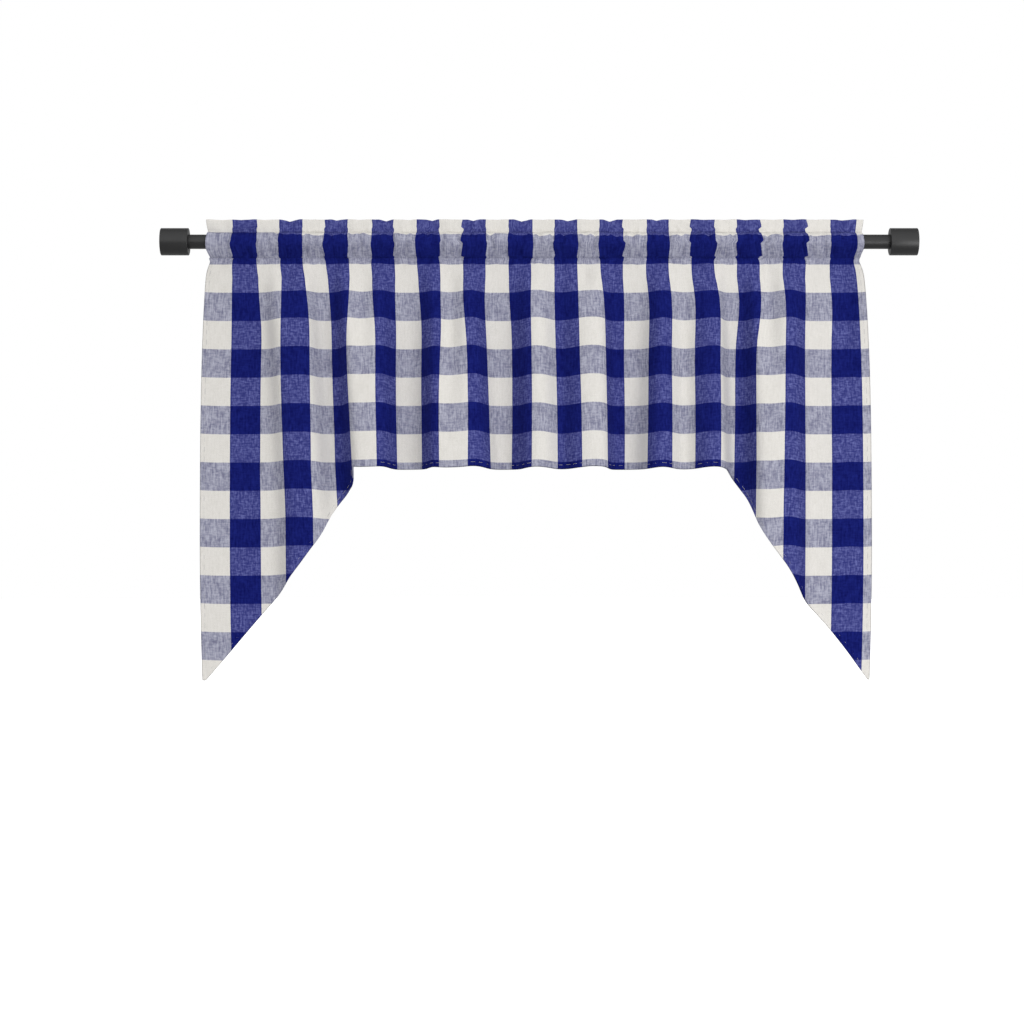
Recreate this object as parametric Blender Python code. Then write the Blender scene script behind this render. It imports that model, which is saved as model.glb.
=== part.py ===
"""A gathered window valance with two pointed tails, on the round rod that carries it.

Metres, +Z up. X runs along the rod to the right, and -Y points into the room. The origin is on the
rod's axis, halfway between the outer faces of its end caps.

The cloth is described by flat coordinates: u runs across the panel from its left edge, and v runs
down it from the seam under the rod. The folds below that seam are waves of the hanging sheet, and
every thread keeps its length: across, because u is the length along the waves, and down, because a
thread that comes forward ends higher.
"""

import math
from collections import namedtuple

import bmesh
import bpy
import numpy as np

MM = 0.001

# ---- driving dimensions ----

# Rod and end caps.
ROD_LENGTH_OVER_CAPS = 1335 * MM
ROD_RADIUS = 12.7 * MM
ROD_WALL = 0.8 * MM
CAP_RADIUS = 24 * MM
CAP_LENGTH = 49 * MM
CAP_SOCKET_DEPTH = 42 * MM
CAP_BEVEL = 1 * MM
GAP = 0.3 * MM
ROUND_SIDES = 48
MERGE_DISTANCE = 0.01 * MM

# Cloth, laid flat.
FLAT_WIDTH = 1606 * MM
DROP = 373 * MM
CLOTH_THICKNESS = 1.5 * MM

# Heights of the two seams and of the heading's top, from the rod's axis.
HEADING_TOP = 38 * MM
UPPER_SEAM = 16 * MM
LOWER_SEAM = -28.5 * MM

# Side edges of the hanging panel, how far the gathers draw them in at the seam under the rod, and
# how far the tails lean in towards their tips.
LEFT_EDGE = -599.5 * MM
RIGHT_EDGE = 588 * MM
LEFT_DRAWN_IN = 12 * MM
RIGHT_DRAWN_IN = 16 * MM
DRAWN_IN_REACH = 120 * MM
TAIL_NARROWS = 4.5 * MM
TAIL_NARROWS_FROM = 480 * MM
SEAM_PINCH = 6 * MM
SEAM_PINCH_REACH = 14 * MM

# Lower edge of each tail, laid flat, in millimetres: inwards from the side edge, and down.
EdgePoint = namedtuple("EdgePoint", "inwards down")
LEFT_TAIL = (
    EdgePoint(5, 747),
    EdgePoint(130, 607),
    EdgePoint(178, 567),
    EdgePoint(247, 480),
    EdgePoint(302, 414),
    EdgePoint(337, 405),
    EdgePoint(341, DROP / MM),
)
RIGHT_TAIL = (
    EdgePoint(2, 746),
    EdgePoint(86, 637),
    EdgePoint(148, 586),
    EdgePoint(180, 541),
    EdgePoint(291, 400),
    EdgePoint(320, 374),
    EdgePoint(347, DROP / MM),
)
LONGEST_DROP = max(point.down for point in LEFT_TAIL + RIGHT_TAIL) * MM

# Each fold is a ridge between the middle of its left flank (rise) and of its right flank (fall),
# in millimetres: where they stand under the seam and at the hem, how wide each flank runs, and how
# far the ridge stands forward under the seam and at the hem.
Fold = namedtuple("Fold", "rise_top rise_hem fall_top fall_hem rise_run fall_run depth hem_depth")
FOLDS = (
    Fold(-475, -456, -400, -381, 15, 14, 35, 33),
    Fold(-354, -333, -263, -260, 13, 19, 42, 55),
    Fold(-200, -199, -102, -86, 16, 16, 39, 57),
    Fold(-32, -33, 19, 30, 19, 21, 40, 51),
    Fold(52, 50, 117, 125, 25, 13, 37, 55),
    Fold(198, 186, 238, 242, 19, 24, 42, 52),
    Fold(273, 274, 324, 331, 25, 11, 36, 52),
    Fold(369, 376, 460, 464, 14, 18, 42, 45),
)

# Short dips (negative depth) and ridges under the seam that die out down the cloth, in millimetres.
Gather = namedtuple("Gather", "at width depth reach")
GATHERS = (
    Gather(-530, 16, 8, 120),
    Gather(-443, 22, -20, 70),
    Gather(-311, 22, -28, 140),
    Gather(-157, 20, -28, 210),
    Gather(80, 12, -22, 50),
    Gather(403, 22, -30, 170),
    Gather(545, 18, -16, 170),
)
FOLD_GROWTH = 150 * MM  # drop over which a fold comes out to its full depth
FOLD_TOP_LEVEL = 60 * MM  # drop at which the folds' top values hold
FLANK_STEEPNESS = 1.2
FOLD_STRAIGHTENS = 1.25  # share of the way to the hem past which a fold runs straight down
FLANK_GATHER = 0.9  # extra cloth in fine wrinkles on the steep flanks, down to none at the hem
FLAT_SIDE = 80 * MM  # width of the nearly ungathered band at each side
FLAT_SIDE_SPREAD = 0.3  # how fast that band widens down the tails
FLAT_SIDE_FROM = 240 * MM
SIDE_SMOOTH_SHARES = (0.6, 0.9)  # how much of the fine wrinkles that band lacks at the seam, and at most
SIDE_SMOOTH_RUN = 120 * MM
SWING_BACK = 10 * MM  # the sheet hangs back a little, so that its weight is under the rod
SWING_REACH = 200 * MM

# Ruffle of the heading and swell of the pocket between its gathers.
RUFFLE_DEPTH = 2 * MM
RUFFLE_PITCH = 71 * MM
POCKET_SWELL = 1.2 * MM
POCKET_PITCH = 58 * MM

# Mesh density: cells across each tail and the centre, rows of the heading, corners of the pocket
# in degrees above the horizontal, and levels down the sheet, which are level down to the last one
# named and then spread evenly down to the hem.
TAIL_CELLS = 19
CENTRE_CELLS = 50
HEADING_ROWS = 2
POCKET_ANGLES = (60, 25, -10, -45)
DROP_LEVELS = [level * MM for level in (0, 12, 28, 48, 72, 100, 140, 190, 250, 310)]
LOWER_CELLS = 5
THREAD_STEP = 4 * MM

# Gathering each thread: places across it, and the search for the amount of its fine wrinkles.
PLACES_ACROSS = 2400
MOST_WRINKLES = 4.0
HALVINGS = 30


# ---- shape of the hanging cloth ----


def between(start, end, share):
    return start + (end - start) * share


def flank(distance, run):
    """0 before a flank and 1 after it, with its steepest part in the middle."""
    return 0.5 * (1 + np.tanh(FLANK_STEEPNESS * distance / run))


def share_down(v):
    """0 where the folds' top values hold, 1 at the centre hem, and more down the tails."""
    return max((v - FOLD_TOP_LEVEL) / (DROP - FOLD_TOP_LEVEL), 0)


def fold_depth(x, v):
    """How far the folds stand forward at x (an array), for one drop v under the lower seam."""
    forward = np.zeros_like(x)
    drift = min(share_down(v), FOLD_STRAIGHTENS)
    for fold in FOLDS:
        rise = between(fold.rise_top, fold.rise_hem, drift) * MM
        fall = between(fold.fall_top, fold.fall_hem, drift) * MM
        depth = max(between(fold.depth, fold.hem_depth, drift), 0) * MM
        ridge = flank(x - rise, fold.rise_run * MM) - flank(x - fall, fold.fall_run * MM)
        forward += depth * ridge
    for gather in GATHERS:
        fade = math.exp(-((v / (gather.reach * MM)) ** 2))
        bump = np.exp(-(((x - gather.at * MM) / (gather.width * MM)) ** 2))
        forward += gather.depth * MM * bump * fade
    return forward * math.sin(math.pi / 2 * min(v / FOLD_GROWTH, 1))


def side_edges(v):
    """x of the panel's left and right edge at drop v."""
    ease = math.exp(-v / DRAWN_IN_REACH)
    pinch = SEAM_PINCH * math.exp(-((v / SEAM_PINCH_REACH) ** 2))
    down_tail = max(v - TAIL_NARROWS_FROM, 0) / (LONGEST_DROP - TAIL_NARROWS_FROM)
    pinch += TAIL_NARROWS * down_tail**2
    left = LEFT_EDGE + LEFT_DRAWN_IN * ease + pinch
    right = RIGHT_EDGE - RIGHT_DRAWN_IN * ease - pinch
    return left, right


def gathered_row(v, stations):
    """x and forward depth of each flat station u, along the thread that lies at drop v."""
    left, right = side_edges(v)
    x = np.linspace(left, right, PLACES_ACROSS)
    forward = fold_depth(x, v)
    slope = np.gradient(forward, x)
    fold_length = 1 + (1 + max(between(FLANK_GATHER, 0, share_down(v)), 0)) * slope**2
    band = FLAT_SIDE + FLAT_SIDE_SPREAD * max(v - FLAT_SIDE_FROM, 0)
    at_side = np.exp(-(((x - left) / band) ** 2)) + np.exp(-(((right - x) / band) ** 2))
    at_seam, at_most = SIDE_SMOOTH_SHARES
    wrinkled = 1 - at_side * min(at_seam + v / SIDE_SMOOTH_RUN, at_most)
    # Fine wrinkles take up the width that the folds leave over: halve towards their amount.
    least, most = 0.0, MOST_WRINKLES
    for _ in range(HALVINGS):
        wrinkles = (least + most) / 2
        if np.sqrt(fold_length + wrinkles * wrinkled).mean() * (right - left) > FLAT_WIDTH:
            most = wrinkles
        else:
            least = wrinkles
    density = np.sqrt(fold_length + wrinkles * wrinkled)
    u = np.concatenate([[0], np.cumsum((density[1:] + density[:-1]) / 2 * np.diff(x))])
    u *= FLAT_WIDTH / u[-1]
    return np.interp(stations, u, x), np.interp(stations, u, forward)


def hem_drop(u):
    """Length of the panel under the lower seam at flat station u."""
    for inwards, tail in ((u, LEFT_TAIL), (FLAT_WIDTH - u, RIGHT_TAIL)):
        if inwards < tail[-1].inwards * MM:
            across = [point.inwards * MM for point in tail]
            return float(np.interp(inwards, across, [point.down * MM for point in tail]))
    return DROP


def flat_stations():
    """Stations u across the panel, with one at each corner of the centre hem."""
    left_corner = LEFT_TAIL[-1].inwards * MM
    right_corner = FLAT_WIDTH - RIGHT_TAIL[-1].inwards * MM
    return np.concatenate([
        np.linspace(0, left_corner, TAIL_CELLS + 1),
        np.linspace(left_corner, right_corner, CENTRE_CELLS + 1)[1:],
        np.linspace(right_corner, FLAT_WIDTH, TAIL_CELLS + 1)[1:],
    ])


def hanging_sheet(stations):
    """Middle surface of the sheet under the lower seam: points[level, station] as x, y, z."""
    threads = np.arange(0, LONGEST_DROP + THREAD_STEP, THREAD_STEP)
    x = np.empty((len(threads), len(stations)))
    forward = np.empty_like(x)
    for row, v in enumerate(threads):
        x[row], forward[row] = gathered_row(v, stations)
    y = SWING_BACK * (1 - np.exp(-threads / SWING_REACH))[:, None] - forward
    fallen = np.sqrt(np.maximum(THREAD_STEP**2 - np.diff(x, axis=0) ** 2 - np.diff(y, axis=0) ** 2, 0))
    z = LOWER_SEAM - np.vstack([np.zeros(len(stations)), np.cumsum(fallen, axis=0)])
    columns = []
    for station, u in enumerate(stations):
        lower = np.linspace(DROP_LEVELS[-1], hem_drop(u), LOWER_CELLS + 1)[1:]
        levels = np.concatenate([DROP_LEVELS, lower])
        places = [np.interp(levels, threads, part[:, station]) for part in (x, y, z)]
        columns.append(np.stack(places, axis=1))
    return np.stack(columns, axis=1)


def outward_normals(points):
    """Unit normals of a grid of points[level, station], turned towards the room (-Y)."""
    across = np.gradient(points, axis=1)
    down = np.gradient(points, axis=0)
    normals = np.cross(across, down)
    normals *= -np.sign(normals[..., 1:2])
    return normals / np.linalg.norm(normals, axis=2, keepdims=True)


# ---- heading and pocket ----


def pocket_radius(angle):
    """Inner radius of the pocket at an angle above the horizontal: round over the rod, then
    straight down to the seam."""
    widest_step = max(np.diff((-90, *sorted(POCKET_ANGLES), 90))[1:])
    round_radius = (ROD_RADIUS + GAP) / math.cos(math.radians(widest_step) / 2)
    seam_inside = -LOWER_SEAM - CLOTH_THICKNESS
    leaves_rod = math.acos(round_radius / seam_inside) - math.pi / 2
    return round_radius / math.cos(min(angle - leaves_rod, 0))


def heading_section(x):
    """Front and back outlines (y, z) of the two-layer heading and of the pocket at x, from the top
    down, and the front and back of the pocket's inside."""
    ruffle = RUFFLE_DEPTH * math.sin(2 * math.pi * x / RUFFLE_PITCH)
    swell = POCKET_SWELL * (1 + math.sin(2 * math.pi * x / POCKET_PITCH)) / 2
    outlines = []
    insides = []
    for side in (-1, 1):
        outline = []
        for row in range(HEADING_ROWS, -1, -1):
            height = row / HEADING_ROWS
            y = height * ruffle + side * CLOTH_THICKNESS
            outline.append((y, between(UPPER_SEAM, HEADING_TOP, height)))
        inside = [(0, pocket_radius(math.pi / 2))]
        for degrees in POCKET_ANGLES:
            angle = math.radians(degrees)
            radius = pocket_radius(angle)
            inside.append((side * radius * math.cos(angle), radius * math.sin(angle)))
            radius += CLOTH_THICKNESS + swell
            outline.append((side * radius * math.cos(angle), radius * math.sin(angle)))
        inside.append((0, LOWER_SEAM + CLOTH_THICKNESS))
        outlines.append(outline)
        insides.append(inside)
    return outlines, insides


def pocket_edges(z):
    """x of the left and right edge of heading and pocket at height z."""
    left, right = LEFT_EDGE + LEFT_DRAWN_IN, RIGHT_EDGE - RIGHT_DRAWN_IN
    pinch = SEAM_PINCH * math.exp(-(((z - LOWER_SEAM) / SEAM_PINCH_REACH) ** 2))
    pinch += 0.5 * SEAM_PINCH * math.exp(-(((z - UPPER_SEAM) / SEAM_PINCH_REACH) ** 2))
    return left + pinch, right - pinch


def placed(u, outline):
    """3-D points of one station's outline (y, z), gathered evenly across."""
    points = []
    for y, z in outline:
        left, right = pocket_edges(z)
        points.append((between(left, right, u / FLAT_WIDTH), y, z))
    return points


# ---- meshes ----


def skin_loops(mesh, loops, flip):
    """Bands of quads between neighbouring closed loops of vertices."""
    for loop, following in zip(loops, loops[1:]):
        count = len(loop)
        for i in range(count):
            j = (i + 1) % count
            face = [loop[i], loop[j], following[j], following[i]]
            mesh.faces.new(face[::-1] if flip else face)


def close_side(mesh, front, back, front_inside, back_inside, flip):
    """Closes the panel's side edge between its outline and the pocket's opening."""
    seam = HEADING_ROWS
    below = seam + len(front_inside) - 1
    faces = []
    for i in [*range(seam), *range(below, len(front) - 1)]:
        faces.append([front[i], front[i + 1], back[i + 1], back[i]])
    for outer, inner, turned in ((front, front_inside, False), (back, back_inside, True)):
        for k in range(len(inner) - 1):
            face = [outer[seam + k], outer[seam + k + 1], inner[k + 1], inner[k]]
            faces.append(face[::-1] if turned else face)
    faces.append([front[seam], front_inside[0], back[seam]])
    faces.append([front[below], back[below], front_inside[-1]])
    for face in faces:
        mesh.faces.new(face[::-1] if flip else face)


def make_cloth():
    """One closed body: heading, pocket around the rod, and the hanging sheet with its tails."""
    stations = flat_stations()
    sheet = hanging_sheet(stations)
    offset = outward_normals(sheet) * CLOTH_THICKNESS / 2
    offset[0] = (0, -CLOTH_THICKNESS / 2, 0)
    mesh = bmesh.new()
    outer_loops, inner_loops, sides = [], [], []
    for j, u in enumerate(stations):
        middle_x = between(*pocket_edges(0), u / FLAT_WIDTH)
        (front_line, back_line), (front_hole, back_hole) = heading_section(middle_x)
        front = placed(u, front_line) + list(map(tuple, sheet[:, j] + offset[:, j]))
        back = placed(u, back_line) + list(map(tuple, sheet[:, j] - offset[:, j]))
        front = [mesh.verts.new(point) for point in front]
        back = [mesh.verts.new(point) for point in back]
        front_inside = [mesh.verts.new(point) for point in placed(u, front_hole)]
        back_inside = [mesh.verts.new(point) for point in placed(u, back_hole)[1:-1]]
        back_inside = [front_inside[0], *back_inside, front_inside[-1]]
        outer_loops.append(front + back[::-1])
        inner_loops.append(front_inside + back_inside[-2:0:-1])
        sides.append((front, back, front_inside, back_inside))
    skin_loops(mesh, outer_loops, flip=False)
    skin_loops(mesh, inner_loops, flip=True)
    close_side(mesh, *sides[0], flip=True)
    close_side(mesh, *sides[-1], flip=False)
    bmesh.ops.recalc_face_normals(mesh, faces=mesh.faces[:])
    return finished("valance_cloth", mesh, woven_cotton())


def turned_profile(name, profile, material):
    """A round piece along X, spun from a closed outline of (x, radius) points."""
    mesh = bmesh.new()
    outline = [mesh.verts.new((x, 0, radius)) for x, radius in profile]
    edges = []
    for start, end in zip(outline, outline[1:] + outline[:1]):
        if max(start.co.z, end.co.z) > 0:
            edges.append(mesh.edges.new((start, end)))
    bmesh.ops.spin(
        mesh, geom=outline + edges, cent=(0, 0, 0), axis=(1, 0, 0), dvec=(0, 0, 0),
        angle=2 * math.pi, steps=ROUND_SIDES, use_merge=True, use_duplicate=False,
    )
    bmesh.ops.remove_doubles(mesh, verts=mesh.verts[:], dist=MERGE_DISTANCE)
    bmesh.ops.recalc_face_normals(mesh, faces=mesh.faces[:])
    return finished(name, mesh, material)


def make_rod(material):
    """A steel tube that ends just short of the floors of the caps' sockets."""
    half = ROD_LENGTH_OVER_CAPS / 2 - (CAP_LENGTH - CAP_SOCKET_DEPTH) - GAP
    bore = ROD_RADIUS - ROD_WALL
    profile = [(-half, bore), (-half, ROD_RADIUS), (half, ROD_RADIUS), (half, bore)]
    return turned_profile("curtain_rod", profile, material)


def make_cap(name, side, material):
    """A cylinder with bevelled rims and a blind socket that slips over the rod's end."""
    outer = side * ROD_LENGTH_OVER_CAPS / 2
    inner = outer - side * CAP_LENGTH
    floor = inner + side * CAP_SOCKET_DEPTH
    bevel = side * CAP_BEVEL
    socket = ROD_RADIUS + GAP
    profile = [
        (floor, 0),
        (floor, socket),
        (inner, socket),
        (inner, CAP_RADIUS - CAP_BEVEL),
        (inner + bevel, CAP_RADIUS),
        (outer - bevel, CAP_RADIUS),
        (outer, CAP_RADIUS - CAP_BEVEL),
        (outer, 0),
    ]
    return turned_profile(name, profile, material)


def finished(name, mesh, material):
    data = bpy.data.meshes.new(name)
    mesh.to_mesh(data)
    mesh.free()
    data.shade_smooth()
    data.set_sharp_from_angle(angle=math.radians(40))
    data.materials.append(material)
    piece = bpy.data.objects.new(name, data)
    bpy.context.scene.collection.objects.link(piece)
    return piece


# ---- materials ----


def plain_material(name, colour, roughness, metallic):
    material = bpy.data.materials.new(name)
    material.use_nodes = True
    shader = material.node_tree.nodes["Principled BSDF"]
    shader.inputs["Base Color"].default_value = (*colour, 1)
    shader.inputs["Roughness"].default_value = roughness
    shader.inputs["Metallic"].default_value = metallic
    return material


def woven_cotton():
    return plain_material("woven_cotton", (0.16, 0.17, 0.36), 0.9, 0.0)


def charcoal_paint():
    return plain_material("charcoal_paint", (0.05, 0.05, 0.052), 0.45, 0.3)


def main():
    for existing in list(bpy.data.objects):
        bpy.data.objects.remove(existing)
    make_cloth()
    paint = charcoal_paint()
    make_rod(paint)
    make_cap("end_cap_left", -1, paint)
    make_cap("end_cap_right", 1, paint)


main()
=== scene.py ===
"""Looks of a gathered window valance with two pointed tails, on the round rod that carries it.

Metres, +Z up, X along the rod to the right, -Y into the room, and the origin on the rod's axis.

The cloth is one strip, as it was cut and sewn. It starts behind the lower seam of the rod pocket,
runs up the pocket's back, folds over at the heading's top, comes down the pocket's front and hangs.
Flat coordinates describe it: u runs across from the left edge, and v runs down from the lower seam,
so v is negative in the pocket and the heading.
"""

import math
from collections import namedtuple

import bmesh
import bpy
import numpy as np
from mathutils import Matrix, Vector


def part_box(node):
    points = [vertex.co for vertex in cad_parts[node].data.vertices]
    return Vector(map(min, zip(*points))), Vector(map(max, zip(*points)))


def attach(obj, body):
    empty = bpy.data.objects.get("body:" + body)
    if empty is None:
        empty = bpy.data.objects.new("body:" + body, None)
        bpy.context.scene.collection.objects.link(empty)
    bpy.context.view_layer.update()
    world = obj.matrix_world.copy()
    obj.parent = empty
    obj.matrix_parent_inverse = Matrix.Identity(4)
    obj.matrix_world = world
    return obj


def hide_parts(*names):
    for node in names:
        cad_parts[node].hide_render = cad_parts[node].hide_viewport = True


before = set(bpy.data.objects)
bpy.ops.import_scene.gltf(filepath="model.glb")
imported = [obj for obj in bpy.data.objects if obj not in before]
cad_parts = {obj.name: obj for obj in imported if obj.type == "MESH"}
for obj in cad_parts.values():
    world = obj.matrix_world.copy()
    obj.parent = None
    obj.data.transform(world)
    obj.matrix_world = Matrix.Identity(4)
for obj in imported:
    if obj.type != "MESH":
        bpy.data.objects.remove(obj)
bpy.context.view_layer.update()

MM = 0.001

# ---- sizes of the cloth, the rod and its caps ----

ROD_LOW, ROD_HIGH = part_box("curtain_rod")
ROD_RADIUS = ROD_HIGH[2]
ROD_WALL = 0.8 * MM
CAP_NODES = ("end_cap_left", "end_cap_right")
CAP_SOCKET_DEPTH = 42 * MM
CAP_ROUNDING = 1 * MM
CAP_ROUNDING_STEPS = 5
ROD_BORE_SHOWN = 20 * MM
SMOOTH_UP_TO = 40  # degrees between faces that are shaded as one round
END_NORMAL = 0.9  # least part of a face's normal that points along the rod at an end
CLEARANCE = 0.3 * MM
ROUND_SIDES = 96

FLAT_WIDTH = 1606 * MM
DROP = 373 * MM
CLOTH_THICKNESS = 0.9 * MM
LAYER_GAP = 0.1 * MM
HALF_APART = (CLOTH_THICKNESS + LAYER_GAP) / 2  # from the middle of a layer to the middle of the gap
HEADING_TOP = 38 * MM
UPPER_SEAM = 16 * MM
LOWER_SEAM = -28.5 * MM

LEFT_EDGE = -599.5 * MM
RIGHT_EDGE = 588 * MM
LEFT_DRAWN_IN = 12 * MM
RIGHT_DRAWN_IN = 16 * MM
DRAWN_IN_REACH = 120 * MM
TAIL_NARROWS = 4.5 * MM
TAIL_NARROWS_FROM = 480 * MM
SEAM_PINCH = 6 * MM
SEAM_PINCH_REACH = 14 * MM
SKIRT_PINCH_REACH = 20 * MM  # the same below the lower seam
SIDE_LEAN = 2.6 * MM  # how far the side edges lean in on the way up, beside what the seams draw in
SIDE_LEAN_REACH = 240 * MM
PINCH_FADES = 30 * MM  # how far in from a side edge all this reaches

# Lower edge of each tail, laid flat, in millimetres: inwards from the side edge, and down.
EdgePoint = namedtuple("EdgePoint", "inwards down")
LEFT_TAIL = (
    EdgePoint(5, 747),
    EdgePoint(130, 607),
    EdgePoint(178, 567),
    EdgePoint(247, 480),
    EdgePoint(302, 414),
    EdgePoint(337, 405),
    EdgePoint(341, DROP / MM),
)
RIGHT_TAIL = (
    EdgePoint(2, 746),
    EdgePoint(86, 637),
    EdgePoint(148, 586),
    EdgePoint(180, 541),
    EdgePoint(291, 400),
    EdgePoint(320, 374),
    EdgePoint(347, DROP / MM),
)
LONGEST_DROP = max(point.down for point in LEFT_TAIL + RIGHT_TAIL) * MM
CORNER_CUT = 0.25  # share of each stretch that one round of rounding takes off at both its ends
CORNER_ROUNDS = 3

# Each fold is a ridge between the middle of its left flank (rise) and of its right flank (fall),
# in millimetres: where they stand under the seam and at the hem, how wide each flank runs, and how
# far the ridge stands forward under the seam and at the hem.
Fold = namedtuple("Fold", "rise_top rise_hem fall_top fall_hem rise_run fall_run depth hem_depth")
FOLDS = (
    Fold(-475, -456, -400, -381, 15, 14, 35, 33),
    Fold(-354, -333, -263, -260, 13, 19, 42, 55),
    Fold(-200, -199, -102, -86, 16, 16, 39, 57),
    Fold(-32, -33, 19, 30, 19, 21, 40, 51),
    Fold(52, 50, 117, 125, 25, 13, 37, 55),
    Fold(198, 186, 238, 242, 19, 24, 42, 52),
    Fold(273, 274, 324, 331, 25, 11, 36, 52),
    Fold(369, 376, 460, 464, 14, 18, 42, 45),
)

# Short dips (negative depth) and ridges under the seam that die out down the cloth, in millimetres.
Gather = namedtuple("Gather", "at width depth reach")
GATHERS = (
    Gather(-530, 16, 8, 120),
    Gather(-443, 22, -20, 70),
    Gather(-311, 22, -28, 140),
    Gather(-157, 20, -28, 210),
    Gather(80, 12, -22, 50),
    Gather(403, 22, -30, 170),
    Gather(545, 18, -16, 170),
)
FOLD_GROWTH = 150 * MM  # drop over which a fold comes out to its full depth
FOLD_TOP_LEVEL = 60 * MM  # drop at which the folds' top values hold
FLANK_STEEPNESS = 1.2
FOLD_STRAIGHTENS = 1.25  # share of the way to the hem past which a fold runs straight down
FLANK_GATHER = 0.9  # extra cloth in fine wrinkles on the steep flanks, down to none at the hem
FLAT_SIDE = 80 * MM  # width of the nearly ungathered band at each side
FLAT_SIDE_SPREAD = 0.3  # how fast that band widens down the tails
FLAT_SIDE_FROM = 240 * MM
SIDE_SMOOTH_SHARES = (0.6, 0.9)  # how much of the fine wrinkles that band lacks: at the seam, at most
SIDE_SMOOTH_RUN = 120 * MM
SWING_BACK = 10 * MM  # the sheet hangs back a little, so that its weight is under the rod
SWING_REACH = 200 * MM
THREAD_STEP = 4 * MM

# Gathering each thread: places across it, and the search for the amount of its fine wrinkles.
PLACES_ACROSS = 2400
MOST_WRINKLES = 4.0
HALVINGS = 30

# Hems: the folded band along the sides and the lower edge, and its stitch line.
HEM_WIDTH = 8.5 * MM
HEM_STEP = 1.2 * MM  # width over which the cloth rises to the hem's thickness
HEM_FRONT = 0.25 * MM  # how far the hem stands out at the front, and then at the back
HEM_THICKENING = 1.3 * MM
STITCH_LINE = 6.5 * MM
STITCH_DENT = 0.35 * MM
STITCH_DENT_WIDTH = 1.3 * MM
HEM_STARTS = 12 * MM  # level below the lower seam from which the side hems stand out
HEM_FADE_IN = 4 * MM
STEEPEST = 3  # most times its width that a slanted hem takes up straight down
HEM_DISTANCES = [d * MM for d in (10, 9, 8, 6.5, 4.5, 2, 0.6, 0)]

# Uneven curves across the cloth. The curves of one name are added together: how strong each is (in
# millimetres, or as a share), every how many millimetres it may turn, and its random seed.
Curve = namedtuple("Curve", "strength pitch seed")
UNEVEN = {
    "heading_lean": (Curve(1.8, 34, 11), Curve(0.8, 15, 12)),
    "heading_height": (Curve(0.35, 13, 14),),
    "heading_gathers": (Curve(0.9, 9, 21), Curve(0.54, 17, 23)),
    "seam_jog": (Curve(2, 26, 25), Curve(0.9, 13, 26)),
    "stripe_swell": (Curve(0.7, 60, 27),),
    "upper_pocket_gathers": (Curve(1, 10, 31), Curve(0.6, 18, 33)),
    "lower_pocket_gathers": (Curve(1, 9, 35), Curve(0.6, 16, 37)),
    "pocket_swell": (Curve(1, 22, 39),),
    "gather_reach": (Curve(0.5, 33, 51),),
    "seam_gathers": (Curve(1, 9, 52), Curve(0.7, 17, 53)),
    "long_gathers": (Curve(1.3, 24, 54),),
    "slack": (Curve(0.8, 70, 55),),
    "sway": (Curve(1.2, 42, 56),),
    "lobes": (Curve(0.25, 70, 62), Curve(0.06, 8, 65)),
    "lower_slip": (Curve(0.9, 12, 63),),
    "upper_groove": (Curve(0.5, 45, 64),),
    "lower_groove": (Curve(0.5, 30, 66),),
}
DIP_SEED, VALLEY_SEED, LOBE_SEED, STITCH_SEED = 13, 43, 61, 71
FIRST_KNOTS = 4  # random knots kept before the first place across
FIRST_KNOT_ROWS = 400  # and above the first row, because heights may be negative

# Heading: its two layers bulge apart, ripple along the upper seam and dip once in every stripe.
HEADING_BELLY = 0.9 * MM
HEADING_GATHER_REACH = 4 * MM
HEADING_CREST = 0.3 * MM
HEADING_CREST_REACH = 3 * MM
HEADING_RAISED = 1 * MM
LEAN_CURVE = 1.3
NAVY_DIPS = (0.4 * MM, 3.8 * MM)  # least and greatest dip of the heading's top in a stripe
WHITE_DIPS = (0.0 * MM, 1.3 * MM)
DIP_STRAY = 9 * MM
DIP_HALF_WIDTH = 24 * MM
DIP_WIDTHS = (0.6, 1.1)
DIP_SHARPNESS = 1.2
DIP_LEAN = 0.8  # how far the top leans back in a dip, as a share of the dip

# Pocket: it swells between its seams, with puckers at both and upright valleys between gathers.
POCKET_EASE = 0.2 * MM
POCKET_SWELL = 2.4 * MM
POCKET_PUCKER = 0.8 * MM
POCKET_PUCKER_REACH = 6 * MM
PUCKERS_OUT = 0.6  # how much more the puckers stand out than sink in
VALLEY_PITCH = 34 * MM
VALLEY_STRAY = (0.4, 1.6)
VALLEY_WIDTHS = (3.5 * MM, 7 * MM)
VALLEY_MIDDLES = (0.15, 0.5, 0.85)
VALLEY_REACHES = (0.2, 0.55)
VALLEY_SLANT = 12 * MM
VALLEY_STRENGTHS = (0.4, 1)
VALLEY_ENDS = 12  # a valley dies out in this part, a twelfth, of the pocket at each seam
VALLEY_DEPTH = 5.2 * MM
VALLEY_RISE = 4 * MM  # how far the pocket swells between its valleys

# Shifts of the check in the heading and pocket, in millimetres: how far, and every how many
# millimetres across and down they may turn.
Shift = namedtuple("Shift", "far across down seed")
SHIFTS = (Shift(3.4, 36, 26, 22), Shift(0.35, 17, 9, 23))
SHIFT_FADES = 30 * MM
UPPER_PINCH_SHARE = 0.5
STRIPE_SWELL = 1.7  # how far, in millimetres, the pocket's gathers spread each navy stripe
POCKET_MIDDLE = -5 * MM
POCKET_SWELL_REACH = 14 * MM
JOG_TURN = 0.8 * MM
JOG_REACH = 4.5 * MM

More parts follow.
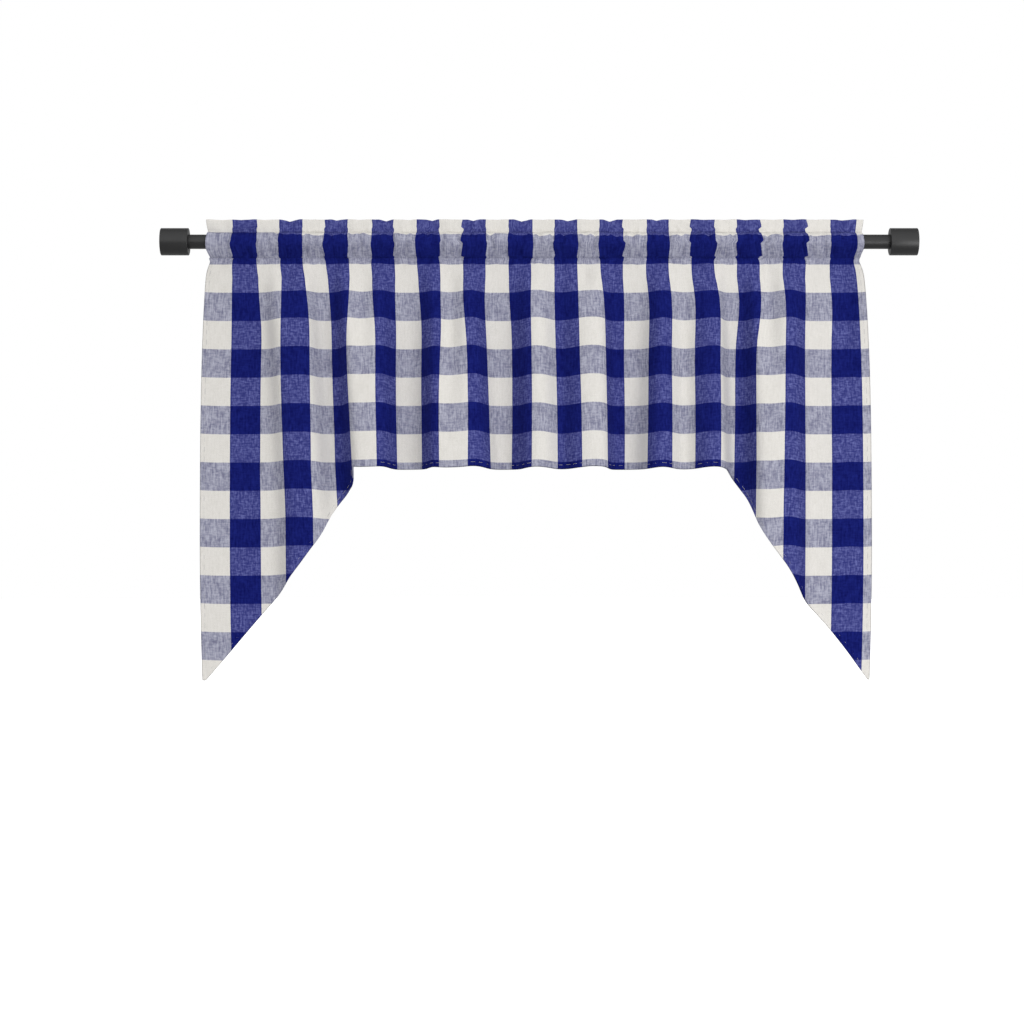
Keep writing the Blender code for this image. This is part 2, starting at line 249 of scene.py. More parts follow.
# Under the lower seam: short gathers, long gathers, slack, and sideways sway of the threads.
SEAM_GATHER = 1.1 * MM
SEAM_GATHER_REACH = 5.5 * MM
GATHERS_OUT = 0.5  # how much more the gathers stand out than sink in
LONG_GATHER_REACH = 55 * MM
LONG_GATHER_STARTS = 12 * MM
SLACK_SLANT = 0.2
SLACK_STARTS = 60 * MM
SWAY_STARTS = 3 * MM
SWAY_REACH = 45 * MM
SEAM_HOLDS = 5 * MM  # how far under the seam the pocket's shifts still show
LOWER_SLIP_LEVEL = 8 * MM
LOWER_SLIP_REACH = 10 * MM

# Both seams pull a groove into the front; the lower one only in places.
SEAM_GROOVE = 0.7 * MM
UPPER_STITCHES = 4 * MM  # the upper seam's thread lies this far above the pocket's mouth
UPPER_GROOVE_SHARE, UPPER_GROOVE_WIDTH = 0.75, 1.5 * MM
LOWER_GROOVE_SHARE, LOWER_GROOVE_WIDTH = 0.25, 1.4 * MM

# The check's row at the upper seam hangs over it, further over to the right, and more in lobes.
LOBE_LEVELS = (5 * MM, 12.5 * MM)  # at the left and the right edge, between the lobes
LOBES_FROM = 170 * MM  # distance from the left edge; before it that row ends at the seam
LOBES_FADE_IN = 20 * MM
LOBE_DROP = 11.5 * MM
LOBE_REACH = 14 * MM
HEADING_SLIP_REACH = 28 * MM  # the same above the upper seam, where the check slips as a whole
LOBE_PITCH = 25 * MM
LOBE_WIDTHS = (0.45, 1.7)
LOBE_SIZES = (0.1, 0.9)
LOBE_FULLNESS = 0.6
LOBE_PUFF = 2.8 * MM  # how far the cloth puffs out at a lobe under the upper seam
PUFF_OVER_SEAM = 0.6  # share of it above the seam
PUFF_OVER_SEAM_REACH = 3.5 * MM

# Mesh density: columns across, and rows of each stretch of the strip.
COLUMN_STEP = 3.4 * MM
NOTCH_STEP = 1.6 * MM
NOTCH_REACH = 12 * MM
TUCK_LEVELS = [v * MM for v in (6, 3, 1)]  # turned-under end of the pocket's back, below the seam
TUCK_BEHIND_ROWS = 6  # how many of the sheet's first rows that end lies behind
HEADING_SHARES = (0, 0.07, 0.13, 0.18, 0.23, 0.3, 0.48, 0.72, 1)
HEADING_FOLD_ANGLES = (0, 50, 90, 130, 180)
POCKET_ROWS_BACK = 8
POCKET_ROWS_FRONT = 20
POCKET_ROWS_SPREAD = 0.6  # 0 for even rows, and 1 for rows much closer together at the seams
POCKET_CORNERS = 60
PATH_PLACES = 400
SEAM_LEVELS = [v * MM for v in (0, 1, 2.5, 4.5, 7, 10, 13, 16.5, 20, 24, 28, 33, 38, 44, 50)]
EVEN_LEVELS_TO = 250 * MM
EVEN_ROWS = 8
LOWER_ROWS = 11
RIM_ROUNDING = 0.45  # of the cloth's thickness

# ---- the check, in millimetres: a navy and an off-white stripe each way ----

COLUMN_WIDTH = 57
FIRST_COLUMN = 53
ROW_HEIGHT = 50
FIRST_ROW = 11.4
STRIPE_EDGE = 0.3
EDGE_STRAY = 1.0
EDGE_STRAY_SCALE = 0.5
BORDER = (3.0, 1.0)  # the blue cells darken over this distance from their sides
BORDER_SHARE = 0.5
YARN = 0.64
FLAT_MAP = "flat_cloth"

# Length of cloth in the pocket's front, in the check's own measure, between the two seams.
POCKET_V = 38.6 * MM
HEADING_HEIGHT = HEADING_TOP - UPPER_SEAM
FOLD_V = -POCKET_V - HEADING_HEIGHT
POCKET_ARC = 54 * MM

# Unevenness of the yarns: how often it turns in a millimetre across and down, its layer and how
# fine it is, and its share in the streaks of plain areas and in the heather of mixed ones.
Slub = namedtuple("Slub", "across down layer detail streak heather")
WARP_SLUB = Slub(0.30, 0.045, 0.0, 3.0, 0.32, 0.16)
WEFT_SLUB = Slub(0.07, 0.32, 3.0, 3.0, 0.12, 0.16)
WARP_FLECK = Slub(0.34, 0.11, 11.0, 2.0, 0.22, 0.3)
WEFT_FLECK = Slub(0.11, 0.34, 14.0, 2.0, 0.2, 0.28)
CLOUD = Slub(0.055, 0.04, 17.0, 2.0, 0.14, 0.1)
SLUBS = (WARP_SLUB, WEFT_SLUB, WARP_FLECK, WEFT_FLECK, CLOUD)

# Colours as they show in soft light, in 8-bit sRGB: the darker and the lighter yarn of each area,
# and the unevenness between which the one turns into the other.
Area = namedtuple("Area", "dark light low high")
NAVY = Area((6, 12, 84), (24, 34, 117), 0.35, 0.65)
BLUE = Area((53, 57, 123), (109, 114, 177), 0.42, 0.68)
GREY = Area((117, 118, 143), (182, 183, 199), 0.37, 0.63)
CREAM = Area((219, 216, 210), (228, 225, 220), 0.35, 0.6)
# The thread's greys are darker than its real cream: painted shade of the dents that the stitches pull
# into the cloth.
THREAD = Area((141, 140, 146), (187, 185, 185), 0.35, 0.65)
PAINT_DARK = (29, 29, 30)
PAINT_LIGHT = (34, 34, 35)

# Weave: where one yarn dives under the next, the painted shade in the gaps between yarns (colour
# darkened there, and lightened a little on the yarns' crowns), and its relief.
CROSSING = 0.3
COTTON_ROUGHNESS = (0.95, 0.85)
WEAVE_PAINTED_SHADES = (0.82, 1.03)
WEAVE_LEVELS = (0.2, 0.9)
WEAVE_BUMP = 0.35
WEAVE_BUMP_HEIGHT = 0.4 * MM
STREAK_RELIEF, WEFT_RELIEF, YARN_RELIEF = 1.4, 0.8, 0.35

# Fine finishes: how often each turns in a metre, its relief, and how rough the paint is.
NOISE_SPAN = (0.3, 0.7)  # values between which most of a noise lies
TWIST, PEEL, SHEEN = 2200.0, 900.0, 45.0
TWIST_BUMP, PEEL_BUMP = 0.4, 0.12
FINE_RELIEF = 0.1 * MM
THREAD_ROUGHNESS = 0.8
PAINT_ROUGHNESS = (0.38, 0.32)

# Stitches: thread that shows for a stitch's length, once every pitch.
STITCH_PITCH = 17.3 * MM
STITCH_LENGTH = 10.5 * MM
STITCH_STRAY = 0.06  # of a pitch, each way
STITCH_LENGTHS = (0.85, 1.1)
THREAD_RADIUS = 0.27 * MM
THREAD_ROUNDING = 2
SIDE_STITCHES_FROM = 14 * MM
SIDE_STITCHES_END = 6 * MM  # above the lower stitch line
STITCH_SHARES = (0, 0.1, 0.5, 0.9, 1)
STITCH_LIFTS = (-1.5, 0.5, 0.8, 0.5, -1.5)  # in thread radii above the cloth
STITCHES_SINK = 1.5  # the same: most that a stitch is pulled in by chance
TAIL_STITCHES_SINK = 2.05  # the same, and they are pulled in deep along the tails' slanted edges
TAIL_STITCHES_FROM = 470 * MM
TAIL_STITCHES_FADE_IN = 40 * MM
EDGE_PLACES = 8000  # places along the hem that a stitch line keeps its distance from
CUT_PLACES = 800  # places at which the cut cloth's length is measured
KEPT_DISTANCE = 0.95  # share of the stitch line's distance that it has to keep

# ---- floor, light and camera ----

FLOOR_LEVEL = -2.05
FLOOR_RADIUS = 40
FLOOR_SIDES = 128
FLOOR_COLOUR = (0.42, 0.42, 0.42, 1)
FLOOR_GLOW = 1.0
WHITE = (1, 1, 1, 1)
FRONT_LIGHT = 1.33
SIDE_LIGHT = 0.68
BACK_REFLECTED = 0.3  # share of the light from behind that shines back from the paint
BEHIND = (-0.1, 0.3)  # how far back a ray points where that starts and where it holds in full
KEY_PLACE = (2.05, -3.2, -1.2)
KEY_TARGET = (0, 0, -0.3)
KEY_SIZE = 2.2
KEY_POWER = 58
LENS = 85
SENSOR = 36
CAMERA_PLACE = (-0.048, -4.268, -0.477)


# ---- helpers ----


def between(start, end, share):
    return start + (end - start) * share


def flank(distance, run):
    """0 before a flank and 1 after it, with its steepest part in the middle."""
    return 0.5 * (1 + np.tanh(FLANK_STEEPNESS * distance / run))


def eased(share):
    """0 to 1 with soft ends."""
    share = np.clip(share, 0, 1)
    return share * share * (3 - 2 * share)


def near(distance, reach):
    """1 at a place and 0 well away from it, on a bell curve."""
    return np.exp(-((distance / reach) ** 2))


def near_seam(distance, reach):
    """Strength of the small gathers at a distance from a seam: most at one reach from it."""
    return (distance / reach) * np.exp(1 - distance / reach)


def wander(places, pitch, seed):
    """A smooth random curve from -1 to 1 that may turn at every pitch."""
    random = np.random.default_rng(seed)
    at = np.asarray(places) / pitch + FIRST_KNOTS
    knots = random.uniform(-1, 1, int(at.max()) + 3)
    before = np.floor(at).astype(int)
    return between(knots[before], knots[before + 1], eased(at - before))


def uneven(name, places, side=0):
    """The curves of one name in UNEVEN, added up; each side (1 or -1) has seeds of its own."""
    return sum(
        curve.strength * wander(places, curve.pitch * MM, curve.seed + side) for curve in UNEVEN[name]
    )


def wander_over(u, v, pitch_u, pitch_v, seed):
    """A random curve over a surface: arrays u and v, with a turn at every pitch each way."""
    random = np.random.default_rng(seed)
    across, down = np.broadcast_arrays(u / pitch_u + FIRST_KNOTS, v / pitch_v + FIRST_KNOT_ROWS)
    column, row = np.floor(across).astype(int), np.floor(down).astype(int)
    row -= row.min()
    knots = random.uniform(-1, 1, (row.max() + 2, column.max() + 2))
    share = eased(across - column)
    upper = between(knots[row, column], knots[row, column + 1], share)
    lower = between(knots[row + 1, column], knots[row + 1, column + 1], share)
    return between(upper, lower, eased(down - np.floor(down)))


# ---- the hanging sheet, as in the solid model ----


def share_down(v):
    """0 where the folds' top values hold, 1 at the centre hem, and more down the tails."""
    return max((v - FOLD_TOP_LEVEL) / (DROP - FOLD_TOP_LEVEL), 0)


def fold_depth(x, v):
    """How far the folds stand forward at x (an array), for one drop v under the lower seam."""
    forward = np.zeros_like(x)
    drift = min(share_down(v), FOLD_STRAIGHTENS)
    for fold in FOLDS:
        rise = between(fold.rise_top, fold.rise_hem, drift) * MM
        fall = between(fold.fall_top, fold.fall_hem, drift) * MM
        depth = max(between(fold.depth, fold.hem_depth, drift), 0) * MM
        ridge = flank(x - rise, fold.rise_run * MM) - flank(x - fall, fold.fall_run * MM)
        forward += depth * ridge
    for gather in GATHERS:
        fade = near(v, gather.reach * MM)
        forward += gather.depth * MM * near(x - gather.at * MM, gather.width * MM) * fade
    return forward * math.sin(math.pi / 2 * min(v / FOLD_GROWTH, 1))


def side_edges(v):
    """x of the panel's left and right edge at drop v, before the seams pinch them."""
    ease = math.exp(-v / DRAWN_IN_REACH)
    share = max(v - TAIL_NARROWS_FROM, 0) / (LONGEST_DROP - TAIL_NARROWS_FROM)
    narrowing = TAIL_NARROWS * share**2
    return LEFT_EDGE + LEFT_DRAWN_IN * ease + narrowing, RIGHT_EDGE - RIGHT_DRAWN_IN * ease - narrowing


def pinched(x, amount):
    """x drawn inwards by an amount at both side edges, and hardly at all away from them."""
    return x + amount * (np.exp((x[0] - x) / PINCH_FADES) - np.exp((x - x[-1]) / PINCH_FADES))


def gathered_row(v, stations):
    """x and forward depth of each flat station u, along the thread that lies at drop v."""
    left, right = side_edges(v)
    x = np.linspace(left, right, PLACES_ACROSS)
    forward = fold_depth(x, v)
    slope = np.gradient(forward, x)
    fold_length = 1 + (1 + max(between(FLANK_GATHER, 0, share_down(v)), 0)) * slope**2
    band = FLAT_SIDE + FLAT_SIDE_SPREAD * max(v - FLAT_SIDE_FROM, 0)
    at_seam, at_most = SIDE_SMOOTH_SHARES
    smooth = min(at_seam + v / SIDE_SMOOTH_RUN, at_most)
    wrinkled = 1 - (near(x - left, band) + near(right - x, band)) * smooth
    least, most = 0.0, MOST_WRINKLES
    for _ in range(HALVINGS):
        wrinkles = (least + most) / 2
        if np.sqrt(fold_length + wrinkles * wrinkled).mean() * (right - left) > FLAT_WIDTH:
            most = wrinkles
        else:
            least = wrinkles
    density = np.sqrt(fold_length + wrinkles * wrinkled)
    u = np.concatenate([[0], np.cumsum((density[1:] + density[:-1]) / 2 * np.diff(x))])
    u *= FLAT_WIDTH / u[-1]
    return np.interp(stations, u, x), np.interp(stations, u, forward)


def hanging_threads(stations):
    """Drops of the level threads, and x, y and z of each station on them: part[thread, station]."""
    threads = np.arange(0, LONGEST_DROP + 2 * THREAD_STEP, THREAD_STEP)
    x = np.empty((len(threads), len(stations)))
    forward = np.empty_like(x)
    for row, v in enumerate(threads):
        across, forward[row] = gathered_row(v, stations)
        drawn = SEAM_PINCH * near(v, SKIRT_PINCH_REACH) + SIDE_LEAN * near(v, SIDE_LEAN_REACH)
        x[row] = pinched(across, drawn)
    y = SWING_BACK * (1 - np.exp(-threads / SWING_REACH))[:, None] - forward
    fallen = np.sqrt(np.maximum(THREAD_STEP**2 - np.diff(x, axis=0) ** 2 - np.diff(y, axis=0) ** 2, 0))
    z = LOWER_SEAM - np.vstack([np.zeros(len(stations)), np.cumsum(fallen, axis=0)])
    return threads, (x, y, z)


def rounded_edge(tail):
    """The tail's lower edge with its corners cut round, as arrays of inwards and down."""
    points = [np.array(point, float) * MM for point in tail]
    for _ in range(CORNER_ROUNDS):
        cut = [points[0]]
        for start, end in zip(points, points[1:]):
            cut += [between(start, end, CORNER_CUT), between(start, end, 1 - CORNER_CUT)]
        points = cut + [points[-1]]
    return np.array(points).T


def hem_drops(stations):
    """Length of the panel under the lower seam at each flat station."""
    drops = np.full(len(stations), DROP)
    for inwards, tail in ((stations, LEFT_TAIL), (FLAT_WIDTH - stations, RIGHT_TAIL)):
        across, down = rounded_edge(tail)
        on_tail = inwards < across[-1]
        drops[on_tail] = np.interp(inwards[on_tail], across, down)
    return drops


def hem_steepness(stations, hem):
    """Length straight down for one unit square to the hem's edge, at each station."""
    return np.minimum(np.sqrt(1 + np.gradient(hem, stations) ** 2), STEEPEST)


def flat_stations():
    """Stations u across the panel, closer together in the side hems and at the hem's two notches."""
    notches = (LEFT_TAIL[-1].inwards * MM, FLAT_WIDTH - RIGHT_TAIL[-1].inwards * MM)
    margin = HEM_DISTANCES[0]
    middle = [margin]
    while middle[-1] < FLAT_WIDTH - margin:
        at_notch = min(abs(middle[-1] - notch) for notch in notches) < NOTCH_REACH
        middle.append(middle[-1] + (NOTCH_STEP if at_notch else COLUMN_STEP))
    side = HEM_DISTANCES[:0:-1]
    return np.array([*side, *middle[:-2], *(FLAT_WIDTH - d for d in (margin, *side[::-1]))])


def drop_levels(stations):
    """v of every row below the lower seam at every station: levels[row, station]."""
    hem = hem_drops(stations)
    steepness = hem_steepness(stations, hem)
    even = np.linspace(SEAM_LEVELS[-1], EVEN_LEVELS_TO, EVEN_ROWS + 1)[1:]
    rows = [np.full(len(stations), v) for v in (*SEAM_LEVELS, *even)]
    band_top = hem - HEM_DISTANCES[0] * steepness
    for row in range(1, LOWER_ROWS + 1):
        rows.append(between(EVEN_LEVELS_TO, band_top, row / (LOWER_ROWS + 1)))
    for distance in HEM_DISTANCES:
        rows.append(hem - distance * steepness)
    return np.array(rows)


# ---- heading and pocket ----


def pocket_path(side):
    """Middle line (y, z) of one layer of the pocket, from the upper seam over the rod down to the
    lower seam, as a dense polyline."""
    radius = ROD_RADIUS + CLEARANCE + CLOTH_THICKNESS / 2 + POCKET_EASE
    leaves_above = math.acos(radius / UPPER_SEAM)
    leaves_below = math.acos(radius / -LOWER_SEAM)
    angles = np.linspace(math.pi / 2 - leaves_above, leaves_below - math.pi / 2, POCKET_CORNERS)
    away = side * HALF_APART
    y = np.concatenate([[away], side * radius * np.cos(angles), [away]])
    z = np.concatenate([[UPPER_SEAM], radius * np.sin(angles), [LOWER_SEAM]])
    return y, z


def along_path(y, z, shares):
    """Points and outward directions at shares of a path's length."""
    length = np.concatenate([[0], np.cumsum(np.hypot(np.diff(y), np.diff(z)))])
    dense = np.linspace(0, 1, PATH_PLACES)
    dy = np.interp(dense * length[-1], length, y)
    dz = np.interp(dense * length[-1], length, z)
    ty, tz = np.gradient(dy), np.gradient(dz)
    size = np.hypot(ty, tz)
    points = np.interp(shares, dense, dy), np.interp(shares, dense, dz)
    directions = np.interp(shares, dense, tz / size), np.interp(shares, dense, -ty / size)
    return points, directions, length[-1]


Row = namedtuple("Row", "x y z v")


def strip_row(stations, x, y, z, v):
    flat = np.ones(len(stations))
    return Row(x * flat, y * flat, z * flat, v * flat)


def heading_dips(stations):
    """How far the heading's top dips at each station: a soft V near the middle of each stripe."""
    random = np.random.default_rng(DIP_SEED)
    dips = np.zeros(len(stations))
    stripes = np.arange(FIRST_COLUMN - COLUMN_WIDTH / 2, FLAT_WIDTH / MM, COLUMN_WIDTH) * MM
    for number, middle in enumerate(stripes):
        depth = random.uniform(*(NAVY_DIPS if number % 2 else WHITE_DIPS))
        place = middle + random.uniform(-1, 1) * DIP_STRAY
        reach = DIP_HALF_WIDTH * random.uniform(*DIP_WIDTHS)
        dips += depth * np.clip(1 - np.abs(stations - place) / reach, 0, 1) ** DIP_SHARPNESS
    return dips


def ruffled_heading(stations):
    """How far the heading's top leans forward or back, and its height, at each station."""
    dips = heading_dips(stations)
    lean = uneven("heading_lean", stations) * MM + DIP_LEAN * (dips - dips.mean())
    return lean, HEADING_TOP + HEADING_RAISED + uneven("heading_height", stations) * MM - dips


def heading_x(stations, z):
    """x of each station at height z: gathered as at the lower seam, and shifted a little unevenly."""
    at_seam, _ = gathered_row(0, stations)
    pinch = near(z - LOWER_SEAM, SEAM_PINCH_REACH)
    pinch += UPPER_PINCH_SHARE * near(z - UPPER_SEAM, SEAM_PINCH_REACH)
    shift = sum(
        far * wander_over(stations, z, across * MM, down * MM, seed)
        for far, across, down, seed in SHIFTS
    )
    stripe = np.sin(math.pi * (stations / MM - FIRST_COLUMN) / COLUMN_WIDTH - math.pi / 2)
    swell = STRIPE_SWELL * (1 + uneven("stripe_swell", stations))
    shift += swell * stripe * near(z - POCKET_MIDDLE, POCKET_SWELL_REACH)
    shift *= 1 - near(stations, SHIFT_FADES) - near(FLAT_WIDTH - stations, SHIFT_FADES)
    return pinched(at_seam + shift * MM, SEAM_PINCH * pinch)


def seam_jog(stations, below):
    """Sideways jog of the threads across the lower seam: one way above it and the other below."""
    jog = uneven("seam_jog", stations) * MM
    return jog * np.tanh(below / JOG_TURN) * np.exp(-np.abs(below) / JOG_REACH)


def heading_layer(stations, side):
    """Rows of one layer of the heading, from the upper seam up to the fold at its top."""
    lean, top = ruffled_heading(stations)
    radius = HALF_APART + HEADING_BELLY
    gathers = uneven("heading_gathers", stations) * MM
    puffs = PUFF_OVER_SEAM * LOBE_PUFF * seam_lobes(stations) if side < 0 else 0
    rows = []
    for share in HEADING_SHARES:
        height = share * HEADING_HEIGHT
        belly = between(HALF_APART, radius, math.sin(math.pi / 2 * share))
        pucker = gathers * near_seam(height, HEADING_GATHER_REACH)
        pucker += side * HEADING_CREST * near_seam(height, HEADING_CREST_REACH)
        pucker -= puffs * near_seam(height, PUFF_OVER_SEAM_REACH)
        y = lean * share**LEAN_CURVE + side * belly + pucker
        z = between(UPPER_SEAM, top - radius, share)
        x = heading_x(stations, between(UPPER_SEAM, HEADING_TOP, share))
        v = -POCKET_V - (height if side < 0 else 2 * HEADING_HEIGHT - height)
        rows.append(strip_row(stations, x, y, z, v))
    return rows


def heading_fold(stations):
    """Rows of the rounded fold at the heading's top, from the back to the front."""
    lean, top = ruffled_heading(stations)
    radius = HALF_APART + HEADING_BELLY
    x = heading_x(stations, HEADING_TOP)
    rows = []
    for degrees in HEADING_FOLD_ANGLES:
        angle = math.radians(degrees)
        y = lean + radius * math.cos(angle)
        z = top - radius + radius * math.sin(angle)
        rows.append(strip_row(stations, x, y, z, FOLD_V))
    return rows


def lobes_begin(stations):
    """0 near the left edge and 1 from where the check's row hangs over the upper seam."""
    return eased((stations - LOBES_FROM) / LOBES_FADE_IN + 1)


def seam_lobes(stations):
    """Rounded lobes of uneven size along the upper seam: 0 between them, and at most about 1."""
    random = np.random.default_rng(LOBE_SEED)
    lobes = uneven("lobes", stations)
    start = 0.0
    while start < FLAT_WIDTH:
        width = LOBE_PITCH * random.uniform(*LOBE_WIDTHS)
        share = np.clip((stations - start) / width, 0, 1)
        lobes += random.uniform(*LOBE_SIZES) * (4 * share * (1 - share)) ** LOBE_FULLNESS
        start += width
    return np.maximum(lobes, 0) * lobes_begin(stations)


def pocket_layer(stations, side, count):
    """Rows of one layer of the pocket between its two seams, from the upper one down."""
    even = np.linspace(0, 1, count + 2)[1:-1]
    shares = between(even, (1 - np.cos(math.pi * even)) / 2, POCKET_ROWS_SPREAD)
    (ys, zs), (out_y, out_z), length = along_path(*pocket_path(side), shares)
    upper_gathers = POCKET_PUCKER * (PUCKERS_OUT + uneven("upper_pocket_gathers", stations, side))
    lower_gathers = POCKET_PUCKER * (PUCKERS_OUT + uneven("lower_pocket_gathers", stations, side))
    swell = POCKET_SWELL * (1 + uneven("pocket_swell", stations, side)) / 2
    valleys = pocket_valleys(stations, shares, VALLEY_SEED + side)
    puffs = LOBE_PUFF * seam_lobes(stations) if side < 0 else 0
    rows = []
    for share, y, z, dy, dz, valley in zip(shares, ys, zs, out_y, out_z, valleys):
        bulge = math.sin(math.pi * share)
        by_upper, by_lower = (near_seam(s * length, POCKET_PUCKER_REACH) for s in (share, 1 - share))
        puff = swell * bulge + upper_gathers * by_upper + lower_gathers * by_lower
        puff = np.maximum(puff + VALLEY_RISE * bulge - VALLEY_DEPTH * valley, 0)
        x = heading_x(stations, z) + seam_jog(stations, (share - 1) * length)
        v = between(-POCKET_V, 0, share)
        if side > 0:
            v = 2 * FOLD_V - v
        forward = puffs * by_upper
        rows.append(strip_row(stations, x, y - side * dy * puff - forward, z - side * dz * puff, v))
    return rows


def pocket_valleys(stations, shares, seed):
    """Soft upright valleys between the pocket's gathers, from 0 to 1: one array for each share."""
    random = np.random.default_rng(seed)
    valleys = np.zeros((len(shares), len(stations)))
    place = 0.0
    while place < FLAT_WIDTH:
        place += VALLEY_PITCH * random.uniform(*VALLEY_STRAY)
        width = random.uniform(*VALLEY_WIDTHS)
        middle, reach = random.choice(VALLEY_MIDDLES), random.uniform(*VALLEY_REACHES)
        slant = random.uniform(-VALLEY_SLANT, VALLEY_SLANT)
        strength = random.uniform(*VALLEY_STRENGTHS)
        for row, share in enumerate(shares):
            across = near(stations - place - slant * (share - 0.5), width)
            ends = min(1, VALLEY_ENDS * share, VALLEY_ENDS * (1 - share))
            fade = near(share - middle, reach) * ends
            valleys[row] += strength * across * fade
    return np.minimum(valleys, 1)


def hanging_rows(stations):
    """Rows of the sheet from the lower seam down to its hem, with the small gathers of the seam."""
    threads, parts = hanging_threads(stations)
    levels = drop_levels(stations)
    x, y, z = (
        np.stack([np.interp(levels[:, j], threads, part[:, j]) for j in range(len(stations))], axis=1)
        for part in parts
    )
    normals = outward_normals(np.stack([x, y, z], axis=2))
    reach = SEAM_GATHER_REACH * (1 + uneven("gather_reach", stations))
    gathers = SEAM_GATHER * (GATHERS_OUT + uneven("seam_gathers", stations))
    long_gathers = uneven("long_gathers", stations) * MM * np.exp(-levels / LONG_GATHER_REACH)
    slack = uneven("slack", stations + SLACK_SLANT * levels) * MM * eased(levels / SLACK_STARTS)
    forward = gathers * near_seam(levels, reach) + slack
    forward += long_gathers * np.minimum(levels / LONG_GATHER_STARTS, 1)
    points = np.stack([x, y, z], axis=2) + normals * forward[..., None]
    sway = uneven("sway", stations) * MM * eased(levels / SWAY_STARTS)
    points[..., 0] += sway * np.exp(-levels / SWAY_REACH)
    to_pocket = heading_x(stations, LOWER_SEAM) - points[0, :, 0]
    points[..., 0] += to_pocket * near(levels, SEAM_HOLDS) + seam_jog(stations, levels)
    return [strip_row(stations, *points[row].T, levels[row]) for row in range(len(levels))]


def outward_normals(points):
    """Unit normals of the strip's rows of points, away from the pocket's inside."""
    normals = -np.cross(np.gradient(points, axis=1), np.gradient(points, axis=0))
    return normals / np.maximum(np.linalg.norm(normals, axis=2, keepdims=True), 1e-12)


def tucked_edge(stations, front_rows):
    """Rows of the back layer's turned-under end, close behind the front layer under the seam."""
    front = np.array([[row.x, row.y, row.z] for row in front_rows]).transpose(0, 2, 1)
    behind = front - outward_normals(front) * 2 * HALF_APART
    levels = np.array([row.v for row in front_rows])
    end_v = 2 * FOLD_V
    rows = []
    for level in (*TUCK_LEVELS, 0):
        place = [
            [np.interp(level, levels[:, j], behind[:, j, k]) for j in range(len(stations))]
            for k in range(3)
        ]
        rows.append(strip_row(stations, *np.array(place), end_v - level))
    return rows


def strip_rows(stations):
    """All rows of the cloth, from the end behind the lower seam, over the top, to the hem."""
    hanging = hanging_rows(stations)
    back_heading = heading_layer(stations, 1)
    front_heading = heading_layer(stations, -1)
    rows = tucked_edge(stations, hanging[:TUCK_BEHIND_ROWS])
    rows += pocket_layer(stations, 1, POCKET_ROWS_BACK)[::-1]
    rows += back_heading + heading_fold(stations)[1:-1] + front_heading[::-1]
    rows += pocket_layer(stations, -1, POCKET_ROWS_FRONT)
    rows += hanging
    return rows


# ---- the cloth's mesh ----


def put_in_scene(name, data):
    """A new object at the origin that shows this mesh, curve, lamp or camera."""
    piece = bpy.data.objects.new(name, data)
    bpy.context.scene.collection.objects.link(piece)
    return piece


class Cloth:
    """The strip as arrays [row, station]: its middle surface, its outer and inner side, and v."""

    def __init__(self):
        self.stations = flat_stations()
        rows = strip_rows(self.stations)
        self.v = np.array([row.v for row in rows])
        self.middle = np.array([[row.x, row.y, row.z] for row in rows]).transpose(0, 2, 1)
        self.normals = outward_normals(self.middle)
        level = between(*LOBE_LEVELS, self.stations / FLAT_WIDTH) * lobes_begin(self.stations)
        self.overhang = level + LOBE_DROP * seam_lobes(self.stations)
        from_edge = self.distance_from_edge()
        hem = eased((HEM_WIDTH - from_edge) / HEM_STEP + 0.5)
        hem *= eased((self.v - HEM_STARTS) / HEM_FADE_IN + 1)
        dent = STITCH_DENT * near(from_edge - STITCH_LINE, STITCH_DENT_WIDTH) * hem
        half = CLOTH_THICKNESS / 2
        outwards = half + HEM_FRONT * hem - dent - self.seam_groove()
        inwards = half + HEM_THICKENING * hem - dent
        self.outer = self.middle + self.normals * outwards[..., None]
        self.inner = self.middle - self.normals * inwards[..., None]

    def distance_from_edge(self):
        """Flat distance of each point to the nearest side edge or lower edge of the panel."""
        u = self.stations[None, :] * np.ones_like(self.v)
        hem = hem_drops(self.stations)
        above_hem = (hem - self.v) / hem_steepness(self.stations, hem)
        return np.minimum(np.minimum(u, FLAT_WIDTH - u), above_hem)

    def seam_groove(self):
        """Depth of the narrow groove that the two seams of the pocket pull into the front."""
        upper = UPPER_GROOVE_SHARE + uneven("upper_groove", self.stations)
        upper = upper * near(self.v + POCKET_V + UPPER_STITCHES, UPPER_GROOVE_WIDTH)
        lower = np.maximum(LOWER_GROOVE_SHARE + uneven("lower_groove", self.stations), 0)
        return SEAM_GROOVE * (upper + lower * near(self.v, LOWER_GROOVE_WIDTH))

    def printed_v(self):
        """v that the check follows: its rows slip a little where the seams gather them."""
        lower_slip = uneven("lower_slip", self.stations) * MM
        below_seam = self.v + POCKET_V
        reach = np.where(below_seam < 0, HEADING_SLIP_REACH, LOBE_REACH)
        upper_slip = self.overhang * near(below_seam, reach)
        return self.v - upper_slip + lower_slip * near(self.v - LOWER_SLIP_LEVEL, LOWER_SLIP_REACH)

    def place(self, u, v, inside=False):
        """Points and normals on the outer or inner side at flat places (arrays of u and v)."""
        side = self.inner if inside else self.outer
        column = np.clip(np.searchsorted(self.stations, u) - 1, 0, len(self.stations) - 2)
        share = (u - self.stations[column]) / (self.stations[column + 1] - self.stations[column])
        found = []
        for grid in (side, self.normals):
            both = [
                [np.interp(b, self.v[:, j + step], grid[:, j + step, k]) for k in range(3)]
                for step in (0, 1)
                for j, b in zip(column, v)
            ]
            first, second = np.array(both[: len(u)]), np.array(both[len(u) :])
            found.append(between(first, second, share[:, None]))
        return found


def rim_order(rows, columns):
    """Grid places (row, column) once round the border of the strip."""
    top = [(0, c) for c in range(columns - 1)]
    right = [(r, columns - 1) for r in range(rows - 1)]
    bottom = [(rows - 1, c) for c in range(columns - 1, 0, -1)]
    left = [(r, 0) for r in range(rows - 1, 0, -1)]
    return top + right + bottom + left


